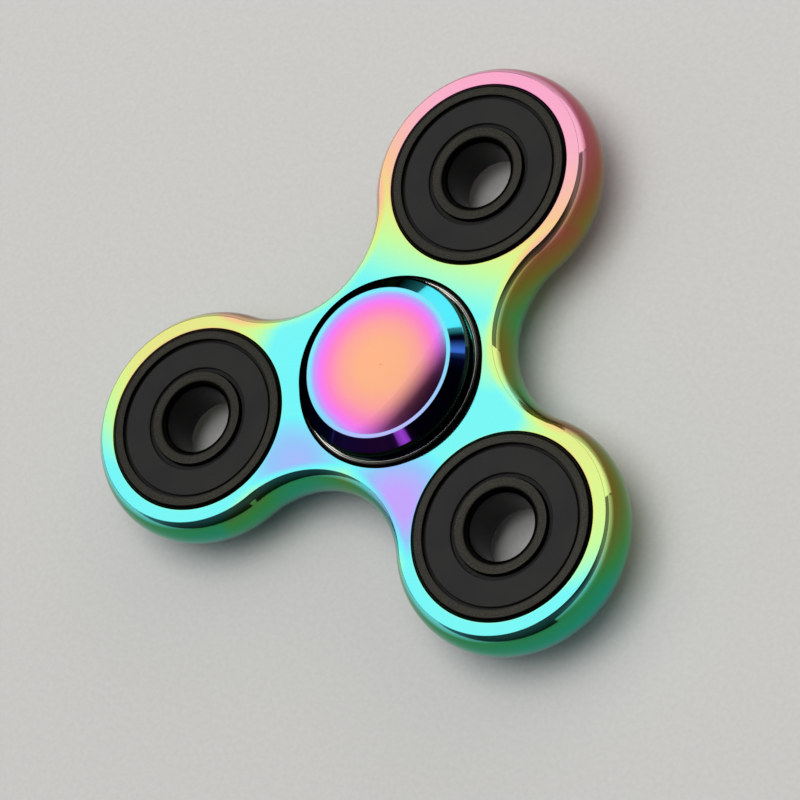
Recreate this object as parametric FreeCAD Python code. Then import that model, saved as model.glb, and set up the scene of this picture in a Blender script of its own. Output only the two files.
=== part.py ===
import FreeCAD, Part
import math
import os

from FreeCAD import Vector

# Three-lobed fidget spinner, in millimetres.
# Origin: on the spin axis, half way up. +Z is the spin axis and +Y points at the first lobe.
# Heights are measured from the middle plane, which the body and every bearing share.

# ---- body casting -------------------------------------------------------------------------
LOBE_COUNT = 3
LOBE_DISTANCE = 25.0        # spin axis to the axis of each lobe
LOBE_FACE_RADIUS = 12.65    # edge of the flat face round a lobe
WAIST_DISTANCE = 12.86      # spin axis to the edge of the flat face between two lobes
BODY_THICKNESS = 6.5
RIM_BULGE = 1.4             # how far the rounded rim swells past the edge of the flat face
LOBE_BORE_CHAMFER = 0.15
HUB_STEP_WIDTH = 0.5        # bore wall to the edge of the shallow step round the middle bore
HUB_STEP_DEPTH = 0.2
HUB_STEP_CHAMFER = 0.12

# ---- ball bearings: one size in the middle and in every lobe ------------------------------
BEARING_DIAMETER = 22.0
BEARING_BORE = 8.0
BEARING_WIDTH = 7.0
BALL_DIAMETER = 3.969
BALL_COUNT = 7
RACE_CLEARANCE = 0.02       # ball surface to raceway
INNER_SHOULDER = 2.05       # bore wall to the shoulder beside the inner raceway
OUTER_SHOULDER = 2.0        # outer surface to the shoulder beside the outer raceway
BORE_CORNER = 0.7           # rounded corner of the bore
RIM_CORNER = 0.4            # rounded corner of the outer ring in a lobe
HUB_RIM_CORNER = 0.12       # and of the middle one, whose bright face is flat nearly to its edge
SEAL_STEP = 0.4             # how far the inner ring steps down where the seal lip runs
OUTER_MOUTH = 1.3           # outer surface to the edge of the opening that the seal closes
SEAL_GROOVE = 0.2           # how far the snap-in groove is cut behind that opening

# ---- rubber seals -------------------------------------------------------------------------
SEAL_RECESS = 0.25          # ring face down to the seal face
SEAL_THICKNESS = 0.75
SEAL_EDGE_STEP = 0.3        # seal face down to its lip and to its snap-in foot
SEAL_FOOT_SHOW = 0.35       # width of the sunk foot that shows round the seal
SEAL_LIP_WIDTH = 0.5
SEAL_LIP_THICKNESS = 0.3
SEAL_LIP_CLEARANCE = 0.1    # lip to the inner ring
SEAL_BACK_GAP = 0.2         # back of the seal to the shoulder of the inner ring

# ---- ball cage: a moulded crown, open on top ----------------------------------------------
CAGE_INNER_GAP = 0.4        # cage to the inner shoulder
CAGE_OUTER_GAP = 0.4        # cage to the outer shoulder
CAGE_BACK_GAP = 0.15        # back of the cage to the back of the seal
CAGE_CROWN_HEIGHT = 1.1     # middle plane to the tips of the crown
POCKET_CLEARANCE = 0.1

# ---- finger buttons -----------------------------------------------------------------------
CAP_RADIUS = 10.8           # knurled skirt
CAP_HEIGHT = 2.8            # bearing face to the flat ring on top
CAP_RING_RADIUS = 9.05      # outer edge of the flat ring
DISH_RADIUS = 8.6           # edge of the finger dish
DISH_DEPTH = 0.7
CAP_SHOULDER_DROP = 1.0     # flat ring down to the top of the skirt
CAP_EDGE_BREAK = 0.35       # bevel along both edges of the skirt
CAP_GAP = 0.4               # bearing face to the underside of the button
BOSS_WALL = 1.5             # bore wall to the edge of the boss that presses on the inner ring
SLEEVE_CLEARANCE = 0.02     # sleeve of the lower button to the bearing bore
STUD_RADIUS = 3.0           # screw on the upper button
THREAD_CLEARANCE = 0.05
STUD_END_GAP = 0.3          # end of the screw to the bottom of its socket
SLEEVE_END_GAP = 0.2        # end of the sleeve to the upper button
SOCKET_FLOOR_DEPTH = 0.2    # bearing face to the bottom of the socket, towards the middle

# ---- sizes that follow from those above ---------------------------------------------------
bore_radius = BEARING_BORE / 2
rim_radius = BEARING_DIAMETER / 2
half_width = BEARING_WIDTH / 2
half_body = BODY_THICKNESS / 2
ball_radius = BALL_DIAMETER / 2
pitch_radius = (bore_radius + rim_radius) / 2
inner_shoulder_radius = bore_radius + INNER_SHOULDER
outer_shoulder_radius = rim_radius - OUTER_SHOULDER
seal_step_radius = inner_shoulder_radius - SEAL_STEP
mouth_radius = rim_radius - OUTER_MOUTH
groove_radius = mouth_radius + SEAL_GROOVE
seal_face = half_width - SEAL_RECESS
seal_step = seal_face - SEAL_EDGE_STEP
seal_back = seal_face - SEAL_THICKNESS

Z_AXIS = Vector(0, 0, 1)
ORIGIN = Vector(0, 0, 0)


# ---- shared helpers -----------------------------------------------------------------------
def turn(section):
    """Turn a closed cross-section about the Z axis.

    Each entry is (r, z), reached by a straight line, or (r, z, mid_r, mid_z), reached by an arc.
    """
    edges = []
    start = Vector(section[-1][0], 0, section[-1][1])
    for point in section:
        end = Vector(point[0], 0, point[1])
        if len(point) == 4:
            middle = Vector(point[2], 0, point[3])
            edges.append(Part.Arc(start, middle, end).toShape())
        else:
            edges.append(Part.makeLine(start, end))
        start = end
    face = Part.Face(Part.Wire(edges))
    return face.revolve(ORIGIN, Z_AXIS, 360)


def corner_middle(centre_r, centre_z, radius, toward_r, toward_z):
    """Middle point of a quarter-round corner; toward_r and toward_z are +1 or -1."""
    reach = radius * math.sqrt(0.5)
    return centre_r + toward_r * reach, centre_z + toward_z * reach


def flipped(shape):
    """The same piece turned over, top to bottom."""
    copy = shape.copy()
    copy.rotate(ORIGIN, Vector(1, 0, 0), 180)
    return copy


def moved(shape, centre):
    copy = shape.copy()
    copy.translate(centre)
    return copy


def polar(distance, degrees):
    angle = math.radians(degrees)
    return Vector(distance * math.cos(angle), distance * math.sin(angle), 0)


def lobe_angle(index):
    return 90.0 + index * 360.0 / LOBE_COUNT


# ---- body casting -------------------------------------------------------------------------
half_pitch = 180.0 / LOBE_COUNT
face_step = LOBE_FACE_RADIUS - WAIST_DISTANCE
# The hollow between two lobes is one arc that runs smoothly into both, so its centre is fixed.
waist_centre_distance = (LOBE_DISTANCE**2 - face_step**2) / (
    2 * (LOBE_DISTANCE * math.cos(math.radians(half_pitch)) + face_step)
)
waist_radius = waist_centre_distance - WAIST_DISTANCE


def rim_section(point, outward):
    """Cross-section of the rim at one point of the outline: an arc from face to face."""
    top = point + Z_AXIS * half_body
    bottom = point - Z_AXIS * half_body
    return Part.Arc(top, point + outward * RIM_BULGE, bottom).toShape()


def outline_arcs():
    """The outline as (centre, start point, turn in degrees, outward sign), all the way round."""
    lobe_to_waist = LOBE_FACE_RADIUS + waist_radius
    across = waist_centre_distance**2 + lobe_to_waist**2 - LOBE_DISTANCE**2
    waist_half_turn = math.degrees(math.acos(across / (2 * waist_centre_distance * lobe_to_waist)))
    lobe_half_turn = half_pitch + waist_half_turn
    arcs = []
    for index in range(LOBE_COUNT):
        lobe = polar(LOBE_DISTANCE, lobe_angle(index))
        waist = polar(waist_centre_distance, lobe_angle(index) + half_pitch)
        lobe_start = lobe + polar(LOBE_FACE_RADIUS, lobe_angle(index) - lobe_half_turn)
        waist_start = lobe + polar(LOBE_FACE_RADIUS, lobe_angle(index) + lobe_half_turn)
        arcs.append((lobe, lobe_start, 2 * lobe_half_turn, 1))
        arcs.append((waist, waist_start, -2 * waist_half_turn, -1))
    return arcs


def body_blank():
    """The lobed plate with its swollen rim, before it is bored."""
    faces = []
    top_edges = []
    bottom_edges = []
    for centre, start, degrees, sign in outline_arcs():
        outward = (start - centre).normalize() * sign
        faces.append(rim_section(start, outward).revolve(centre, Z_AXIS, degrees))
        for height, edges in ((half_body, top_edges), (-half_body, bottom_edges)):
            corner = Part.Vertex(start + Z_AXIS * height)
            edges.append(corner.revolve(centre, Z_AXIS, degrees))
    faces.append(Part.Face(Part.Wire(top_edges)))
    faces.append(Part.Face(Part.Wire(bottom_edges)))
    shell = Part.makeShell(faces)
    shell.sewShape()
    blank = Part.Solid(shell)
    blank.fix(1e-6, 1e-6, 1e-6)
    return blank


def bore_cutter(chamfer):
    """What a bearing bore with both edges chamfered takes out of the plate."""
    over = 1.0
    flare = rim_radius + chamfer + over
    end = half_body + over
    straight = half_body - chamfer
    return turn([
        (0, -end), (flare, -end), (rim_radius, -straight),
        (rim_radius, straight), (flare, end), (0, end),
    ])


def hub_step_cutter():
    """What the middle bore takes out: it has a shallow flat step at both faces, with a chamfered edge."""
    over = 1.0
    step_radius = rim_radius + HUB_STEP_WIDTH
    flare = step_radius + HUB_STEP_CHAMFER + over
    end = half_body + over
    wall = half_body - HUB_STEP_CHAMFER
    floor = half_body - HUB_STEP_DEPTH
    return turn([
        (0, -end), (flare, -end), (step_radius, -wall), (step_radius, -floor), (rim_radius, -floor),
        (rim_radius, floor), (step_radius, floor), (step_radius, wall), (flare, end), (0, end),
    ])


def body_frame():
    body = body_blank().cut(hub_step_cutter())
    for index in range(LOBE_COUNT):
        centre = polar(LOBE_DISTANCE, lobe_angle(index))
        body = body.cut(moved(bore_cutter(LOBE_BORE_CHAMFER), centre))
    return body


# ---- bearing pieces, each built about the origin ------------------------------------------
def raceway():
    """The ring-shaped hollow that the balls run in."""
    return Part.makeTorus(pitch_radius, ball_radius + RACE_CLEARANCE)


def inner_ring():
    corner = corner_middle(bore_radius + BORE_CORNER, half_width - BORE_CORNER, BORE_CORNER, -1, 1)
    land = seal_back - SEAL_BACK_GAP
    face_start = bore_radius + BORE_CORNER
    wall_end = half_width - BORE_CORNER
    ring = turn([
        (bore_radius, wall_end),
        (face_start, half_width, corner[0], corner[1]),
        (seal_step_radius, half_width), (seal_step_radius, land), (inner_shoulder_radius, land),
        (inner_shoulder_radius, -land), (seal_step_radius, -land), (seal_step_radius, -half_width),
        (face_start, -half_width),
        (bore_radius, -wall_end, corner[0], -corner[1]),
    ])
    return ring.cut(raceway())


def outer_ring(rim_corner):
    corner = corner_middle(rim_radius - rim_corner, half_width - rim_corner, rim_corner, 1, 1)
    face_end = rim_radius - rim_corner
    wall_end = half_width - rim_corner
    ring = turn([
        (mouth_radius, half_width), (mouth_radius, seal_step), (groove_radius, seal_step),
        (groove_radius, seal_back), (outer_shoulder_radius, seal_back),
        (outer_shoulder_radius, -seal_back), (groove_radius, -seal_back),
        (groove_radius, -seal_step), (mouth_radius, -seal_step), (mouth_radius, -half_width),
        (face_end, -half_width),
        (rim_radius, -wall_end, corner[0], -corner[1]),
        (rim_radius, wall_end),
        (face_end, half_width, corner[0], corner[1]),
    ])
    return ring.cut(raceway())


def ball_centres():
    return [polar(pitch_radius, index * 360.0 / BALL_COUNT) for index in range(BALL_COUNT)]


def ball_set():
    return Part.makeCompound([Part.makeSphere(ball_radius, centre) for centre in ball_centres()])


def ball_cage():
    inner = inner_shoulder_radius + CAGE_INNER_GAP
    outer = outer_shoulder_radius - CAGE_OUTER_GAP
    back = -(seal_back - CAGE_BACK_GAP)
    crown = CAGE_CROWN_HEIGHT
    cage = turn([(inner, back), (outer, back), (outer, crown), (inner, crown)])
    for centre in ball_centres():
        cage = cage.cut(Part.makeSphere(ball_radius + POCKET_CLEARANCE, centre))
    return cage


def seal():
    lip_radius = seal_step_radius + SEAL_LIP_CLEARANCE
    disc_inner = lip_radius + SEAL_LIP_WIDTH
    disc_outer = mouth_radius - SEAL_FOOT_SHOW
    lip_back = seal_step - SEAL_LIP_THICKNESS
    return turn([
        (lip_radius, seal_step), (lip_radius, lip_back), (disc_inner, lip_back),
        (disc_inner, seal_back), (groove_radius, seal_back), (groove_radius, seal_step),
        (disc_outer, seal_step), (disc_outer, seal_face), (disc_inner, seal_face),
        (disc_inner, seal_step),
    ])


# ---- finger buttons -----------------------------------------------------------------------
cap_top = half_width + CAP_HEIGHT
cap_under = half_width + CAP_GAP
stud_tip = -(half_width - SOCKET_FLOOR_DEPTH - STUD_END_GAP)
sleeve_tip = -(half_width - SLEEVE_END_GAP)


def button_section():
    """Outside of a button, from the middle of its dish round to the edge of its boss."""
    sphere = (DISH_RADIUS**2 + DISH_DEPTH**2) / (2 * DISH_DEPTH)
    half_dish = DISH_RADIUS / 2
    floor = cap_top - DISH_DEPTH
    half_dish_height = floor + sphere - math.sqrt(sphere**2 - half_dish**2)
    shoulder = cap_top - CAP_SHOULDER_DROP
    boss = bore_radius + BOSS_WALL
    return [
        (0, floor),
        (DISH_RADIUS, cap_top, half_dish, half_dish_height),
        (CAP_RING_RADIUS, cap_top),
        (CAP_RADIUS - CAP_EDGE_BREAK, shoulder),
        (CAP_RADIUS, shoulder - CAP_EDGE_BREAK),
        (CAP_RADIUS, cap_under + CAP_EDGE_BREAK),
        (CAP_RADIUS - CAP_EDGE_BREAK, cap_under),
        (boss, cap_under),
        (boss, half_width),
    ]


def top_cap():
    """Upper button, with the screw that goes down through the middle bearing."""
    return turn(button_section() + [(STUD_RADIUS, half_width), (STUD_RADIUS, stud_tip), (0, stud_tip)])


def bottom_cap():
    """Lower button, with the threaded sleeve that fills the bore of the middle bearing."""
    sleeve = bore_radius - SLEEVE_CLEARANCE
    socket = STUD_RADIUS + THREAD_CLEARANCE
    socket_floor = half_width - SOCKET_FLOOR_DEPTH
    tail = [
        (sleeve, half_width), (sleeve, sleeve_tip), (socket, sleeve_tip),
        (socket, socket_floor), (0, socket_floor),
    ]
    return flipped(turn(button_section() + tail))


# ---- assembly -----------------------------------------------------------------------------
def assembly():
    pieces = {
        "body_frame": body_frame(),
        "center_outer_ring": outer_ring(HUB_RIM_CORNER),
        "center_inner_ring": inner_ring(),
        "center_balls": ball_set(),
        "center_cage": ball_cage(),
        "top_cap": top_cap(),
        "bottom_cap": bottom_cap(),
    }
    lobe_pieces = {
        "outer_ring": outer_ring(RIM_CORNER),
        "inner_ring": inner_ring(),
        "balls": ball_set(),
        "cage": ball_cage(),
        "seal_top": seal(),
        "seal_bottom": flipped(seal()),
    }
    for index in range(LOBE_COUNT):
        centre = polar(LOBE_DISTANCE, lobe_angle(index))
        for name, shape in lobe_pieces.items():
            pieces[f"lobe_{index + 1}_{name}"] = moved(shape, centre)
    return pieces


os.makedirs("parts", exist_ok=True)
for node, shape in assembly().items():
    print(f"{node:22s} valid {shape.isValid()}  solids {len(shape.Solids)}  volume {shape.Volume:9.2f} mm3")
    shape.exportStep(f"parts/{node}.step")
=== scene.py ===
# %% [markdown]
# A three-lobed metal fidget spinner with a rainbow coating, built piece by piece round a fixed
# mechanical frame. The frame already knows where every bearing, ring and button is and how it
# turns, so this lesson only makes things look right: smooth turned and cast shapes, and finishes
# that behave like polished coated metal, ground bearing steel and moulded rubber.

# %% Load the frame
import math
import bmesh
import bpy
from mathutils import Matrix, Vector


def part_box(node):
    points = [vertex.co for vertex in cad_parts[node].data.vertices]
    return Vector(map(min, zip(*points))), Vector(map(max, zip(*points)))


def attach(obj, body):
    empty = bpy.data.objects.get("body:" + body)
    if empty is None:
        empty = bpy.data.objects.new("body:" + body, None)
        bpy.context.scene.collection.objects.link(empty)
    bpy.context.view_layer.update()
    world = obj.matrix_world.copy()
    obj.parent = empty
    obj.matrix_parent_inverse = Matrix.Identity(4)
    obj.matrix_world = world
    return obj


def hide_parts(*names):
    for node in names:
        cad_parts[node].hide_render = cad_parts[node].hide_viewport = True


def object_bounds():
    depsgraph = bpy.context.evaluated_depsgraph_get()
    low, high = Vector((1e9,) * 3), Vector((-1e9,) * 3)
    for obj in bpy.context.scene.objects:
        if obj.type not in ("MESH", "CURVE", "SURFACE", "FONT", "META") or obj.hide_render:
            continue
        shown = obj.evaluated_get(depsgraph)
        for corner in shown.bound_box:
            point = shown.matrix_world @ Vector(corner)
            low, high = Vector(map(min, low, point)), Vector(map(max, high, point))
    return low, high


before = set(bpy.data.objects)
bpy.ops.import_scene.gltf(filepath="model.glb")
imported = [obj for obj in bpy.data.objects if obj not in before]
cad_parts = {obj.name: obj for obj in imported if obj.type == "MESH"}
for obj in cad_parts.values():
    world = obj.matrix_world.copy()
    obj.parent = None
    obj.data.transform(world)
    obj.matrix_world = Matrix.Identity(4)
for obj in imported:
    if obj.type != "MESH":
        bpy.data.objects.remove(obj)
cad_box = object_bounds()
MM = 0.001
print("size of the frame in mm:", [round(v / MM, 2) for v in cad_box[1] - cad_box[0]])

# %% [markdown]
# Every size here is in metres, worked out from the frame where the frame holds it. The lobe axes
# are read from the middle of each outer ring, so a piece goes exactly where the bearing is.

# %% Read the main sizes
def middle_of(node):
    low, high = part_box(node)
    return (low + high) / 2


LOBES = [1, 2, 3]
lobe_axis = {lobe: middle_of(f"lobe_{lobe}_outer_ring") for lobe in LOBES}
half_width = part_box("lobe_1_outer_ring")[1].z
half_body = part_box("body_frame")[1].z
ring_radius = (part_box("center_outer_ring")[1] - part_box("center_outer_ring")[0]).x / 2
button_radius = (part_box("top_cap")[1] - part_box("top_cap")[0]).x / 2
button_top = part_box("top_cap")[1].z
lobe_distance = lobe_axis[1].length
print(f"lobes at {lobe_distance / MM:.2f} mm, button radius {button_radius / MM:.2f} mm")

# %% Work out the outline of the body
FACE_RADIUS = 12.65 * MM    # edge of the flat face round a lobe
WAIST_DISTANCE = 12.86 * MM     # spin axis to the edge of the flat face in a hollow
half_pitch = math.pi / len(LOBES)
step_in = FACE_RADIUS - WAIST_DISTANCE
# A hollow is one arc that runs smoothly into both lobes, so its centre follows from them.
waist_centre = (lobe_distance**2 - step_in**2) / (2 * (lobe_distance * math.cos(half_pitch) + step_in))
waist_radius = waist_centre - WAIST_DISTANCE
waist_centres = [-axis.normalized() * waist_centre for axis in lobe_axis.values()]
print(f"hollows of radius {waist_radius / MM:.2f} mm, centred {waist_centre / MM:.2f} mm out")

# %% [markdown]
# The camera comes first, because everything is judged through it. It is a long lens (a narrow
# field of view keeps the circles close to true ellipses) that looks down on the face at about
# 57 degrees, and it is rolled, so that the first lobe points up and to the right.

# %% Place the camera
CAMERA_AIM = Vector((2.84, -2.76, 3.25)) * MM
CAMERA_DISTANCE = 498.3 * MM
CAMERA_AZIMUTH = math.radians(-14.93)
CAMERA_ELEVATION = math.radians(56.57)
CAMERA_ROLL = math.radians(-53.47)
LENS_LENGTH = 198.1


def direction(azimuth, elevation):
    """The direction at an azimuth from +X towards +Y and an elevation above the floor, in radians."""
    flat = math.cos(elevation)
    return Vector((flat * math.cos(azimuth), flat * math.sin(azimuth), math.sin(elevation)))


def place_camera():
    """Put a long lens on the line of sight, rolled about it."""
    back = direction(CAMERA_AZIMUTH, CAMERA_ELEVATION)
    level = Vector((-math.sin(CAMERA_AZIMUTH), math.cos(CAMERA_AZIMUTH), 0))
    upright = back.cross(level)
    right = level * math.cos(CAMERA_ROLL) + upright * math.sin(CAMERA_ROLL)
    up = back.cross(right)
    lens = bpy.data.cameras.new("camera")
    lens.lens = LENS_LENGTH
    lens.sensor_width = 36
    lens.clip_start = 0.01
    camera = bpy.data.objects.new("camera", lens)
    turn = Matrix((right, up, back)).transposed().to_4x4()
    camera.matrix_world = Matrix.Translation(CAMERA_AIM + back * CAMERA_DISTANCE) @ turn
    bpy.context.scene.collection.objects.link(camera)
    bpy.context.scene.camera = camera
    return camera


place_camera()

# %% [markdown]
# A polished piece shows its surroundings, so the lights are part of the finish. One big soft box
# stands where the flat face mirrors it straight into the lens: that fills the face with even
# light, as a product photographer does. A wide box low at one side gives the rims their bright
# crescents, and a long low one in front fills their walls. Three small ones put patches of light
# on the cone of the button and on the far rim. The last lamp only lights the floor, and polished
# metal doesn't mirror it. The room beyond is a soft grey with dark zones, which keep the gaps and
# the cone nearly black, and a glow under the big soft box, which softens its edge in the dish.

# %% Set up the studio
# Angles are in degrees and sizes in metres: name, azimuth, elevation, distance, width, height,
# brightness, and whether polished metal mirrors it.
LAMPS = [
    ("key_light", 159, 70.8, 0.50, 0.42, 0.42, 0.74, True),
    ("side_light", 86, 15, 0.60, 0.70, 0.38, 0.85, True),
    ("front_fill", 5, 6, 0.60, 1.45, 0.25, 0.50, True),
    ("far_side_light", -143, 25, 0.60, 0.16, 0.16, 0.95, True),
    ("blue_patch_light", 59, 41, 0.60, 0.11, 0.09, 0.6, True),
    ("violet_patch_light", -71, 46, 0.60, 0.10, 0.06, 0.7, True),
    ("floor_light", 0, 89, 0.90, 0.80, 0.80, 2.2, False),
]


def hang_lamp(name, azimuth, elevation, distance, width, height, brightness, mirrored):
    """Hang a soft box that faces the spinner; its brightness is what a mirror would show of it."""
    light = bpy.data.lights.new(name, "AREA")
    light.shape = "RECTANGLE"
    light.size = width
    light.size_y = height
    light.energy = brightness * math.pi * width * height
    lamp = bpy.data.objects.new(name, light)
    away = direction(math.radians(azimuth), math.radians(elevation))
    turn = away.to_track_quat("Z", "Y").to_matrix().to_4x4()
    lamp.matrix_world = Matrix.Translation(away * distance) @ turn
    lamp.visible_glossy = mirrored
    bpy.context.scene.collection.objects.link(lamp)


for lamp in LAMPS:
    hang_lamp(*lamp)
bpy.context.scene.view_settings.view_transform = "Standard"
print("lamps:", ", ".join(lamp[0] for lamp in LAMPS))

# %% [markdown]
# Every material is made of the same few steps, so each step has a short name. Colours are written
# as the sRGB hex values that a screen shows, and one function turns them into the linear values
# that the renderer mixes. One helper adds a node, sets it up and links it, and the others call it:
# a noise pattern of a real size, a fade between two values, a sum, a mix of two colours.

# %% Colour and node helpers
def paint(hex_code):
    """An sRGB colour such as '#75f5fa' as linear red, green, blue and alpha."""
    channels = [int(hex_code[i:i + 2], 16) / 255 for i in (1, 3, 5)]
    linear = [c / 12.92 if c <= 0.04045 else ((c + 0.055) / 1.055) ** 2.4 for c in channels]
    return (*linear, 1.0)


def feed(tree, node, inputs):
    """Set each socket of a node to a value, or link it to the output that feeds it."""
    for socket, value in inputs.items():
        if isinstance(value, bpy.types.NodeSocket):
            tree.links.new(value, node.inputs[socket])
        else:
            node.inputs[socket].default_value = value


def add(tree, kind, inputs=None, stops=None, **settings):
    """Add one node with its settings, its inputs and the stops of its colour ramp."""
    made = tree.nodes.new(kind)
    for name, value in settings.items():
        setattr(made, name, value)
    feed(tree, made, inputs or {})
    for index, (position, colour) in enumerate(stops or []):
        if index >= len(made.color_ramp.elements):
            made.color_ramp.elements.new(position)
        made.color_ramp.elements[index].position = position
        made.color_ramp.elements[index].color = paint(colour)
    return made


def work_out(tree, operation, *values):
    """One sum on numbers, such as 'ADD' or 'MAXIMUM'."""
    return add(tree, "ShaderNodeMath", dict(enumerate(values)), operation=operation).outputs[0]


def fade(tree, value, start, end, low=0, high=1, **settings):
    """Go from low to high while a value goes from start to end, and hold beyond."""
    return add(tree, "ShaderNodeMapRange", {
        "Value": value, "From Min": start, "From Max": end, "To Min": low, "To Max": high,
    }, **settings).outputs[0]


def noise(tree, place, size, detail):
    """A cloudy pattern with patches of one size in metres, from 0 to 1."""
    return add(tree, "ShaderNodeTexNoise", {
        "Vector": place, "Scale": 1 / size, "Detail": detail,
    }).outputs[0]


def ramp(tree, value, stops):
    """A colour for each value from 0 to 1."""
    return add(tree, "ShaderNodeValToRGB", {0: value}, stops=stops).outputs[0]


def mix(tree, share, first, second):
    """The first colour where share is 0, and the second where it is 1."""
    return add(tree, "ShaderNodeMix", {0: share, 6: first, 7: second}, data_type="RGBA").outputs[2]


def bumps(tree, height, strength, depth):
    """A node that tilts the surface over small bumps, up to one depth in metres."""
    return add(tree, "ShaderNodeBump", {"Height": height, "Strength": strength, "Distance": depth})


def stretch(tree, place, factors):
    """Coordinates multiplied along x, y and z."""
    return add(tree, "ShaderNodeVectorMath", {0: place, 1: factors}, operation="MULTIPLY").outputs[0]


def length_of(tree, place):
    """How far a point is from the origin of its coordinates."""
    return add(tree, "ShaderNodeVectorMath", {0: place}, operation="LENGTH").outputs["Value"]


def from_axis(tree, place):
    """How far a point is from the piece's own upright axis."""
    return length_of(tree, stretch(tree, place, (1, 1, 0)))


def height_of(tree, place):
    """How high a point is above the middle plane."""
    return add(tree, "ShaderNodeSeparateXYZ", {0: place}).outputs["Z"]


def new_material(name):
    """An empty material, with its node tree, its surface shader and the piece's own coordinates."""
    material = bpy.data.materials.new(name)
    material.use_nodes = True
    tree = material.node_tree
    shader = tree.nodes["Principled BSDF"]
    place = add(tree, "ShaderNodeTexCoord").outputs["Object"]
    return material, tree, shader, place


# %% Light the room
ROOM_LOW = 0.10             # brightness of the room near the floor
ROOM_HIGH = 0.28            # and overhead
ROOM_HEIGHTS = (-0.1, 0.9)  # how far up those two are, as the sine of the elevation
# Dark zones of the room, in degrees: azimuth, elevation, share of the light left, and how far from
# there the dark is full and gone.
DARK_ZONES = [
    (-15, 60, 0.10, 30, 46),    # round and over the camera
    (-75, 10, 0.25, 25, 55),    # the far left
    (165, 30, 0.10, 9, 18),     # a black card under the key light
]
SPILL = 0.66                # glow of the key light's lower edge on the wall under it
SPILL_EDGE = (-20.9, 42.8)  # azimuth and elevation square to that edge
SPILL_DEPTH = 5.0           # degrees until the glow has gone
SPILL_MIDDLE = (167, 47)    # azimuth and elevation of the middle of the glow
SPILL_REACH = (12, 20)      # degrees from there where the glow is full and gone


def facing(tree, way, azimuth, elevation):
    """How squarely a direction points at one place in the room, as the cosine of the angle."""
    target = direction(math.radians(azimuth), math.radians(elevation))
    return add(tree, "ShaderNodeVectorMath", {0: way, 1: target}, operation="DOT_PRODUCT").outputs["Value"]


def darker_towards(tree, way, azimuth, elevation, share, near, far):
    """A factor that falls to one share towards one direction, between two angles from it."""
    edge = math.cos(math.radians(far))
    core = math.cos(math.radians(near))
    towards = facing(tree, way, azimuth, elevation)
    return fade(tree, towards, edge, core, 1, share, interpolation_type="SMOOTHSTEP")


def light_room():
    """Paint the room round the spinner: grey, with its dark zones and the glow under the key light."""
    world = bpy.data.worlds.new("room")
    bpy.context.scene.world = world
    world.use_nodes = True
    tree = world.node_tree
    way = add(tree, "ShaderNodeTexCoord").outputs["Generated"]
    level = fade(tree, height_of(tree, way), *ROOM_HEIGHTS, ROOM_LOW, ROOM_HIGH)
    for azimuth, elevation, share, near, far in DARK_ZONES:
        zone = darker_towards(tree, way, azimuth, elevation, share, near, far)
        level = work_out(tree, "MULTIPLY", level, zone)
    above = facing(tree, way, *SPILL_EDGE)
    spill = fade(tree, above, -math.sin(math.radians(SPILL_DEPTH)), 0, 0, SPILL)
    elsewhere = darker_towards(tree, way, *SPILL_MIDDLE, 0, *SPILL_REACH)
    nearby = work_out(tree, "SUBTRACT", 1, elsewhere)
    below = work_out(tree, "LESS_THAN", above, 0)
    here = work_out(tree, "MULTIPLY", nearby, below)
    level = work_out(tree, "MULTIPLY_ADD", spill, here, level)
    tree.links.new(level, tree.nodes["Background"].inputs["Color"])


light_room()

# %% [markdown]
# Turned parts come from a cross-section spun round an axis. Real edges are never perfectly sharp:
# each corner gets a small radius, and that is what catches the light. Every point also keeps its
# exact surface direction, so a mirror finish shows no facets.

# %% Cross-section helpers
CORNER_STEPS = 5


def rounded(corners, closed=True):
    """Turn corners (r, z, radius) into points (r, z, normal_r, normal_z), with metal on the left."""
    count = len(corners)
    points = []
    for index, (r, z, radius) in enumerate(corners):
        here = Vector((r, z))
        before = Vector(corners[index - 1][:2])
        after = Vector(corners[(index + 1) % count][:2])
        into = (here - before).normalized()
        out = (after - here).normalized()
        if not closed and index == 0:
            into = out
        if not closed and index == count - 1:
            out = into
        turn = math.atan2(into.cross(out), into.dot(out))
        first = Vector((into.y, -into.x))
        if radius == 0:
            normal = Matrix.Rotation(turn / 2, 2) @ first
            points.append((r, z, normal.x, normal.y))
            continue
        side = 1 if turn > 0 else -1
        start = here - into * radius * math.tan(abs(turn) / 2)
        centre = start - first * radius * side
        for step in range(CORNER_STEPS + 1):
            normal = Matrix.Rotation(turn * step / CORNER_STEPS, 2) @ first
            spot = centre + normal * radius * side
            points.append((spot.x, spot.y, normal.x, normal.y))
    return points


def arc_points(centre, radius, start, end, steps):
    """Corners along a circular arc in the cross-section; angles in radians from +r towards +z."""
    angles = [start + (end - start) * step / steps for step in range(steps + 1)]
    return [(centre[0] + radius * math.cos(a), centre[1] + radius * math.sin(a), 0) for a in angles]


# %% Mesh helpers
class Skin:
    """A mesh being made: its vertices, their surface directions and its faces."""

    def __init__(self):
        self.spots = []
        self.normals = []
        self.faces = []

    def add_row(self, spots, normals):
        start = len(self.spots)
        self.spots += spots
        self.normals += normals
        return list(range(start, start + len(spots)))

    def join_rows(self, lower, upper):
        """Close the strip between two rings of vertices."""
        count = len(lower)
        for i in range(count):
            j = (i + 1) % count
            self.faces.append((lower[i], lower[j], upper[j], upper[i]))

    def cap_row(self, row, tip):
        """Close a ring of vertices with a fan to one tip."""
        count = len(row)
        for i in range(count):
            self.faces.append((row[i], row[(i + 1) % count], tip))


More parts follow.
